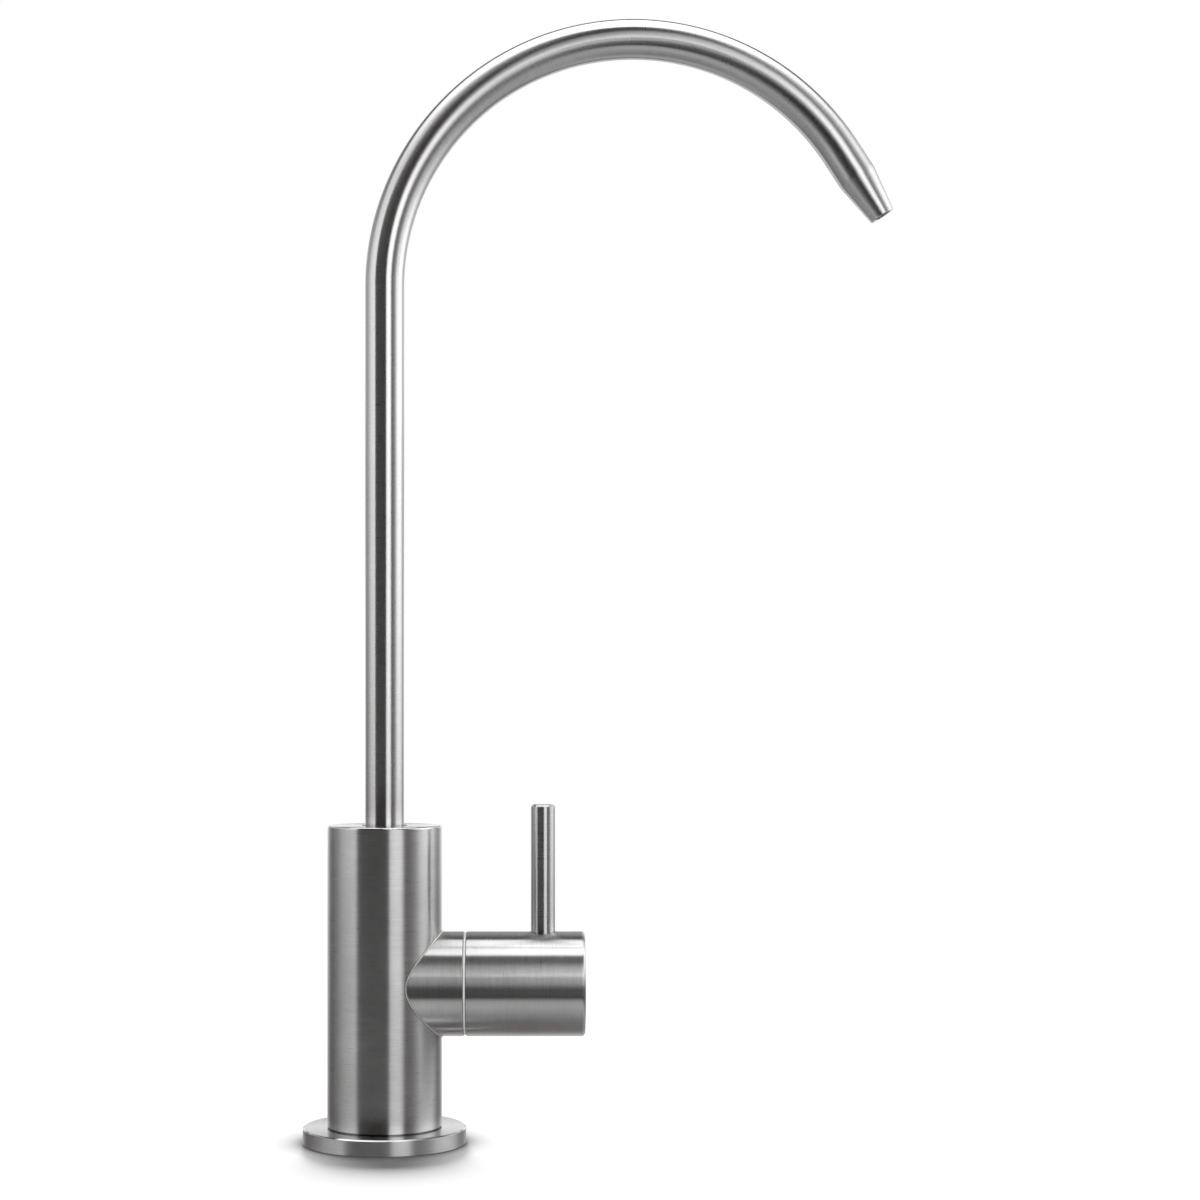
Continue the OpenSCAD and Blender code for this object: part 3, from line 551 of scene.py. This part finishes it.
fade = add(tree, "ShaderNodeMapRange", {"Value": spot["Z"], "From Min": fade_from.outputs[0],
           "From Max": sizes["Thread end"], "To Min": 1.0, "To Max": 0.0})
lead = add(tree, "ShaderNodeMath", {0: spot["Z"], 1: sizes["Thread start"]}, operation="SUBTRACT")
lead = add(tree, "ShaderNodeMapRange",
           {"Value": lead.outputs[0], "From Max": lead_in, "To Min": 1.0, "To Max": 0.0})
cut = add(tree, "ShaderNodeMath", {0: groove.outputs[0], 1: fade.outputs[0]}, operation="MULTIPLY")
cut = add(tree, "ShaderNodeMath", {0: cut.outputs[0], 1: lead.outputs[0]}, operation="MAXIMUM")
cut = add(tree, "ShaderNodeMath", {0: cut.outputs[0], 1: sizes["Depth"]}, operation="MULTIPLY")
share = add(tree, "ShaderNodeMath", {0: cut.outputs[0], 1: reach}, operation="DIVIDE")
inward = add(tree, "ShaderNodeVectorMath", {0: flat.outputs[0], "Scale": share.outputs[0]},
             operation="SCALE")
inward = add(tree, "ShaderNodeVectorMath", {0: inward.outputs[0], 1: (-1, -1, -1)}, operation="MULTIPLY")
skin = add(tree, "ShaderNodeMath", {0: reach, 1: sizes["Major radius"], 2: on_skin}, operation="COMPARE")
shaped = add(tree, "GeometryNodeSetPosition",
             {"Geometry": sizes["Geometry"], "Selection": skin.outputs[0], "Offset": inward.outputs[0]})
close_tree(tree, shaped.outputs[0], turned_steel)
run_tree(shank, tree, thread)
settle(shank, turned_steel, "tap_body", "stainless_turned", "inlet_shank")
dress(rubber, "shank_oring")

# Deck clamp
# Under the deck a rubber washer and a stamped steel washer spread the load of the nut, and a split
# spring washer keeps it tight. The nut's corners are turned off at both ends.
for name, node, material, ease, slot in (
        ("rubber_clamp_washer", "clamp_gasket", rubber, 0.5 * MM, "rubber_black"),
        ("stamped_clamp_washer", "clamp_washer", turned_steel, 0.3 * MM, "stainless_turned")):
    low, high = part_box(node)
    washer = turned(name, rounded([
        (deck_bore, low.z, ease / 2), (high.x, low.z, ease), (high.x, high.z, ease),
        (deck_bore, high.z, ease / 2)]), standing_at(0), segments=120)
    settle(washer, material, "tap_body", slot, node)
dress(spring_steel, "lock_washer")


def hexagon(across_flats, angle):
    """Distance from the axis to the side of a hexagon that has a corner on X."""
    return across_flats / 2 / math.cos(angle % (math.pi / 3) - math.pi / 6)


nut_low, nut_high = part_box("mounting_nut")
nut_flats, nut_lead, nut_slope, face_share = 16 * MM, 0.5 * MM, math.radians(30), 0.95
nut_bore, face_r = stem_r + braze_gap, nut_flats / 2 * face_share


def nut_outline(angle):
    """The nut's section at this angle, with its corners turned off at the slope and a lead in its bore."""
    corner = hexagon(nut_flats, angle)
    drop = (corner - face_r) * math.tan(nut_slope)
    return [(nut_bore, nut_low.z + nut_lead), (nut_bore + nut_lead, nut_low.z), (face_r, nut_low.z),
            (corner, nut_low.z + drop), (corner, nut_high.z - drop), (face_r, nut_high.z),
            (nut_bore + nut_lead, nut_high.z), (nut_bore, nut_high.z - nut_lead)]


nut = turned("chamfered_nut", nut_outline, standing_at(0), segments=144)
settle(nut, turned_steel, "tap_body", "stainless_turned", "mounting_nut")

# Push-fit inlet
# A moulded acetal adapter screws on the shank's end. The supply tube is pushed in through a blue collet,
# which grips it and lets go when its flange is pressed, and an O-ring seals on the tube.
adapter_low, adapter_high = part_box("inlet_adapter")
collet_low, collet_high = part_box("release_collet")
adapter_flats, collar_r, collar_step = 17 * MM, 7.75 * MM, 0.3 * MM
hex_ease, collar_ease, mouth_ease = 0.4 * MM, 0.8 * MM, 0.3 * MM
supply_r, seal_r, bead_room_r, collet_hole_r = 3.25 * MM, 5.1 * MM, 5.5 * MM, 4.66 * MM
web_bore_r, thread_r, lip_tall = 2.25 * MM, stem_r + braze_gap, 3 * MM
web_top, web_low = -56.5 * MM, -60 * MM
seal_top, cage_top = -66 * MM, -68.1 * MM
lip_top = adapter_low.z + lip_tall


def adapter_outline(angle):
    """The adapter's section at this angle: a hexagon above, a round collar below, and a stepped bore."""
    corner = hexagon(adapter_flats, angle)
    return rounded([
        (thread_r, adapter_high.z, 0), (corner, adapter_high.z, hex_ease), (corner, web_top, hex_ease),
        (collar_r, web_top - collar_step, 0), (collar_r, adapter_low.z, collar_ease),
        (collet_hole_r, adapter_low.z, mouth_ease), (collet_hole_r, lip_top, 0), (bead_room_r, lip_top, 0),
        (bead_room_r, cage_top, 0), (seal_r, cage_top, 0), (seal_r, seal_top, 0), (supply_r, seal_top, 0),
        (supply_r, web_low, 0), (web_bore_r, web_low, 0), (web_bore_r, web_top, 0),
        (thread_r, web_top, 0)], steps=4)


adapter = turned("push_fit_adapter", adapter_outline, standing_at(0), segments=144)
settle(adapter, acetal_white, "tap_body", "acetal_white", "inlet_adapter")
dress(rubber, "face_seal", "tube_seal")

# Blue acetal: a plain mid blue with a soft sheen.
acetal_blue = moulded("blue_acetal", ("#3E6FB0", "#4B7CBB"), rough=0.4, glow=0.05)
press_r, collet_r, grip_r = collet_high.x, 4.6 * MM, 5.2 * MM
press_tall, bead_tall = 2 * MM, 2 * MM
press_top, bead_low = collet_low.z + press_tall, collet_high.z - bead_tall
press_ease, bead_ease, lead_ease = 0.5 * MM, 0.2 * MM, 0.4 * MM
collet = turned("blue_release_collet", rounded([
    (supply_r, collet_low.z, mouth_ease), (press_r, collet_low.z, press_ease),
    (press_r, press_top, press_ease), (collet_r, press_top, 0), (collet_r, bead_low, 0),
    (grip_r, bead_low, bead_ease),
    (grip_r, collet_high.z, lead_ease), (supply_r, collet_high.z, 0)]), standing_at(0), segments=120)
settle(collet, acetal_blue, "collet", "acetal_blue", "release_collet")

# Floor
# A plain white sweep of paper. It is white to the eye and keeps the soft shadow that the back lamps cast
# under
# # the flange, with shade painted into its colour near the pieces to deepen it, and the steel mirrors the
# tent's
# # table instead. Seen from below it is clear, so that the clamp can be looked at.
floor_r, painted_shadow_reach, painted_shadow_depth, shadow_lift = 0.6, 8 * MM, 2.0, 0.03
paper = "#E6E6E6"
bpy.ops.mesh.primitive_circle_add(vertices=96, radius=floor_r, fill_type="NGON")
floor = bpy.context.object
floor.name = "floor"
floor.visible_glossy = False


def looked_at(tree):
    """1 where the eye looks, straight or by way of metal or glass, and 0 where light only bounces."""
    path = add(tree, "ShaderNodeLightPath").outputs
    seen = add(tree, "ShaderNodeMath", {0: path["Is Camera Ray"], 1: path["Is Glossy Ray"]},
               operation="MAXIMUM")
    return add(tree, "ShaderNodeMath", {0: seen.outputs[0], 1: path["Is Transmission Ray"]},
               operation="MAXIMUM").outputs[0]


white = bpy.data.materials.new("white_sweep")
white.use_nodes = True
tree = white.node_tree
tree.nodes.clear()
# Painted shadow: the paper's colour darkens where ambient occlusion finds pieces close by.
near = add(tree, "ShaderNodeAmbientOcclusion", {"Distance": painted_shadow_reach}, samples=16)
painted_shadow = add(tree, "ShaderNodeMath", {0: near.outputs["AO"], 1: painted_shadow_depth}, operation="POWER")
lit = add(tree, "ShaderNodeBsdfDiffuse", {"Color": painted_shadow.outputs[0]})
lift = add(tree, "ShaderNodeEmission", {"Strength": shadow_lift})
shown = add(tree, "ShaderNodeAddShader", {0: lit.outputs[0], 1: lift.outputs[0]})
plain = add(tree, "ShaderNodeBsdfDiffuse", {"Color": linear(paper)})
sweep = add(tree, "ShaderNodeMixShader", {0: looked_at(tree), 1: plain.outputs[0], 2: shown.outputs[0]})
under = add(tree, "ShaderNodeNewGeometry").outputs["Backfacing"]
clear = add(tree, "ShaderNodeBsdfTransparent")
sheet = add(tree, "ShaderNodeMixShader", {0: under, 1: sweep.outputs[0], 2: clear.outputs[0]})
add(tree, "ShaderNodeOutputMaterial", {"Surface": sheet.outputs[0]})
floor.data.materials.append(white)

# Studio
# A small round tent of cards stands about the tap, out of the picture, and the steel mirrors it. The wall's
# brightness goes by compass angle, in degrees with 0 towards the camera, and by height in metres. A softbox
# hangs over the tap and a pale table lies below it. Level 1 is a white card.
tent_r, tent_low, tent_high, card_thick = 0.65, -0.19, 0.78, 0.01
brightest, soft_light = 3.0, 0.12
# Round the wall: dark cards in front, a strip lamp right of them, and wide bright cards on both sides.
cards = ((-180, 0.28), (-171, 0.28), (-162, 0.9), (-148, 0.55), (-121, 0.5), (-110, 0.64), (-100, 0.88),
         (-91, 1.2), (-80, 1.4), (-68, 1.55), (-58, 1.68), (-51, 0.03), (-41, 0.04), (-20, 0.015),
         (6, 0.015), (11, 0.03), (15.5, 2.2), (31, 2.5), (37.5, 2.3), (45, 0.2), (56, 0.28), (66, 0.55),
         (73, 0.95), (81, 1.85), (97, 2.3), (115, 2.1), (129, 1.1), (146, 0.45), (162, 0.9), (171, 0.28),
         (180, 0.28))
heights = ((-0.19, 0.2), (-0.12, 0.17), (-0.05, 0.16), (0.0, 0.22), (0.03, 0.37), (0.06, 0.53), (0.13, 0.76),
           (0.2, 0.82), (0.27, 0.86), (0.285, 1.8), (0.32, 1.8), (0.345, 1.1), (0.4, 1.1), (0.5, 0.84),
           (0.6, 0.62), (0.78, 0.08))
# A second, lower card stands behind the tap, for the flange's top to mirror.
behind = ((-180, 0.78), (-162, 0.78), (-132, 0.0), (132, 0.0), (162, 0.65), (180, 0.78))
behind_heights = ((-0.19, 0.1), (-0.14, 0.15), (-0.1, 0.6), (0.02, 0.7), (0.07, 1.0), (0.14, 1.0),
                  (0.22, 0.0), (0.78, 0.0))
table_levels = ((0.0, 0.22), (0.1, 0.25), (0.2, 0.46), (0.3, 0.62), (0.43, 0.6), (0.57, 0.06), (0.75, 0.06))
softbox_levels = ((0.0, 2.3), (0.31, 2.2), (0.36, 0.1), (0.75, 0.08))
table_back = 0.07
softbox_back, softbox_wide = 0.06, 1.8
dark_card, tinted_below, white_above = "#FFF4EE", 0.1, 0.4


def levels(tree, value, stops):
    """Brightness from stops of (value, level)."""
    low, high = stops[0][0], stops[-1][0]
    share = add(tree, "ShaderNodeMapRange", {"Value": value, "From Min": low, "From Max": high})
    ramp = add(tree, "ShaderNodeValToRGB", {"Fac": share.outputs[0]})
    keys = ramp.color_ramp.elements
    keys.remove(keys[1])
    for number, (at, level) in enumerate(stops):
        key = keys[0] if number == 0 else keys.new((at - low) / (high - low))
        key.color = [level / brightest] * 3 + [1.0]
    return add(tree, "ShaderNodeMath", {0: ramp.outputs["Color"], 1: brightest},
               operation="MULTIPLY").outputs[0]


def tent_part(name, outline, paint):
    """A part of the tent that only reflections and soft light see. paint makes its brightness from a place
    on it, and dark cards are a little warm."""
    part = turned(name, outline, standing_at(0), segments=96)
    part.visible_camera = False
    material = bpy.data.materials.new(name)
    material.use_nodes = True
    material.cycles.emission_sampling = "NONE"
    tree = material.node_tree
    tree.nodes.clear()
    place = add(tree, "ShaderNodeTexCoord").outputs["Object"]
    path = add(tree, "ShaderNodeLightPath").outputs
    level = paint(tree, place)
    whiteness = add(tree, "ShaderNodeMapRange",
                    {"Value": level, "From Min": tinted_below, "From Max": white_above})
    tint = add(tree, "ShaderNodeMix", {0: whiteness.outputs[0], 6: linear(dark_card), 7: linear("#FFFFFF")},
               data_type="RGBA")
    mirrored = add(tree, "ShaderNodeEmission", {"Color": tint.outputs[2], "Strength": level})
    soft = add(tree, "ShaderNodeEmission", {"Strength": soft_light})
    mixed = add(tree, "ShaderNodeMixShader",
                {0: path["Is Diffuse Ray"], 1: mirrored.outputs[0], 2: soft.outputs[0]})
    add(tree, "ShaderNodeOutputMaterial", {"Surface": mixed.outputs[0]})
    part.data.materials.append(material)


def wall_paint(tree, place):
    """The wall's brightness: each set of cards by compass angle times its brightness by height, added up."""
    spot = add(tree, "ShaderNodeSeparateXYZ", {0: place}).outputs
    front = add(tree, "ShaderNodeMath", {0: spot["Y"], 1: -1.0}, operation="MULTIPLY")
    compass = add(tree, "ShaderNodeMath", {0: spot["X"], 1: front.outputs[0]}, operation="ARCTAN2")
    compass = add(tree, "ShaderNodeMath", {0: compass.outputs[0]}, operation="DEGREES")
    total = 0.0
    for round_stops, height_stops in ((cards, heights), (behind, behind_heights)):
        round_level = levels(tree, compass.outputs[0], round_stops)
        height_level = levels(tree, spot["Z"], height_stops)
        total = add(tree, "ShaderNodeMath", {0: round_level, 1: height_level, 2: total},
                    operation="MULTIPLY_ADD").outputs[0]
    return total


def disc_paint(stops, back, wide):
    """Brightness by distance from a centre that lies this far back. wide stretches it sideways."""
    def paint(tree, place):
        spot = add(tree, "ShaderNodeVectorMath", {0: place, 1: (0, back, 0)}, operation="SUBTRACT")
        flat = add(tree, "ShaderNodeVectorMath", {0: spot.outputs[0], 1: (1 / wide, 1, 0)},
                   operation="MULTIPLY")
        far = add(tree, "ShaderNodeVectorMath", {0: flat.outputs[0]}, operation="LENGTH")
        return levels(tree, far.outputs["Value"], stops)
    return paint


outer_r, table_low, softbox_top = tent_r + card_thick, tent_low - card_thick, tent_high + card_thick
tent_part("tent_wall", [(tent_r, tent_low), (outer_r, tent_low), (outer_r, tent_high), (tent_r, tent_high)],
          wall_paint)
tent_part("tent_table", [(0, table_low), (tent_r, table_low), (tent_r, tent_low), (0, tent_low)],
          disc_paint(table_levels, table_back, 1.0))
tent_part("tent_softbox", [(0, tent_high), (tent_r, tent_high), (tent_r, softbox_top), (0, softbox_top)],
          disc_paint(softbox_levels, softbox_back, softbox_wide))

# The room is white to the eye and lights the pieces only softly.
world = bpy.data.worlds.new("white_room")
bpy.context.scene.world = world
world.use_nodes = True
tree = world.node_tree
tree.nodes.clear()
level = add(tree, "ShaderNodeMath", {0: looked_at(tree), 1: soft_light}, operation="MAXIMUM")
backdrop = add(tree, "ShaderNodeBackground", {"Color": (1, 1, 1, 1), "Strength": level.outputs[0]})
add(tree, "ShaderNodeOutputWorld", {"Surface": backdrop.outputs[0]})

# Two wide lamps behind the tap light the floor and throw a soft shadow forward. They are sun lamps with
# broad discs, so that the floor is lit alike everywhere. Each has its height and disc in degrees, its share
# of the floor's light, and the pieces that stop it.
shadow_takers = bpy.data.collections.new("shadow_takers")
shadow_takers.objects.link(floor)
lamp_turn = math.radians(-5)
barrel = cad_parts["barrel"]
for name, height, disc, share, makers in (("low_back_lamp", 11.5, 11, 0.38, (flange,)),
                                          ("high_back_lamp", 68, 18, 0.48, (flange, barrel))):
    lamp = bpy.data.lights.new(name, "SUN")
    lamp.angle = math.radians(disc)
    lamp.energy = math.pi * share / math.sin(math.radians(height))
    back_lamp = bpy.data.objects.new(name, lamp)
    back_lamp.rotation_euler = (math.radians(90 - height), 0, math.pi - lamp_turn)
    back_lamp.visible_glossy = False
    shadow_makers = bpy.data.collections.new(name + "_stops")
    for piece in makers:
        shadow_makers.objects.link(piece)
    back_lamp.light_linking.blocker_collection = shadow_makers
    back_lamp.light_linking.receiver_collection = shadow_takers
    bpy.context.scene.collection.objects.link(back_lamp)

# Wide fill lamps in front, behind and below bring the plastics and the rubber under the deck to a plain
# level, and one over the front does so for the white ring. They pass through the tent's cards and light
# nothing else. Each has the direction it shines in, its strength and the pieces that it lights.
under_deck = (adapter, collet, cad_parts["flange_gasket"], bpy.data.objects["rubber_clamp_washer"])
fill_disc = math.radians(70)
for name, towards, energy, pieces in (("front_fill", (0.3, 0.8, -0.55), 2.6, under_deck),
                                      ("rear_fill", (-0.3, -0.9, -0.5), 1.8, under_deck),
                                      ("low_fill", (0.1, 0.3, 0.95), 1.5, under_deck),
                                      ("ring_fill", (0.0, 0.5, -0.87), 2.2, (ring,))):
    fill = bpy.data.lights.new(name, "SUN")
    fill.angle = fill_disc
    fill.energy = energy
    fill_lamp = bpy.data.objects.new(name, fill)
    fill_lamp.rotation_euler = Vector(towards).to_track_quat("-Z", "Y").to_euler()
    fill_lamp.visible_glossy = False
    reached = bpy.data.collections.new(name + "_reaches")
    for piece in pieces:
        reached.objects.link(piece)
    fill_lamp.light_linking.receiver_collection = reached
    fill_lamp.light_linking.blocker_collection = reached
    bpy.context.scene.collection.objects.link(fill_lamp)

# Camera
# Level with the lower part of the riser, 0.6 m in front, with a lens of about 70 mm. The shift keeps the
# uprights upright and puts the tap where the picture has it.
camera_data = bpy.data.cameras.new("camera")
camera_data.sensor_width = 36
camera_data.lens = 70.1
camera_data.shift_x, camera_data.shift_y = 0.0583, 0.0983
camera = bpy.data.objects.new("camera", camera_data)
camera.location = (37.2 * MM, -597.8 * MM, 108.5 * MM)
camera.rotation_euler = (math.pi / 2, 0, 0)
bpy.context.scene.collection.objects.link(camera)
bpy.context.scene.camera = camera

bpy.context.scene.view_settings.view_transform = "Standard"
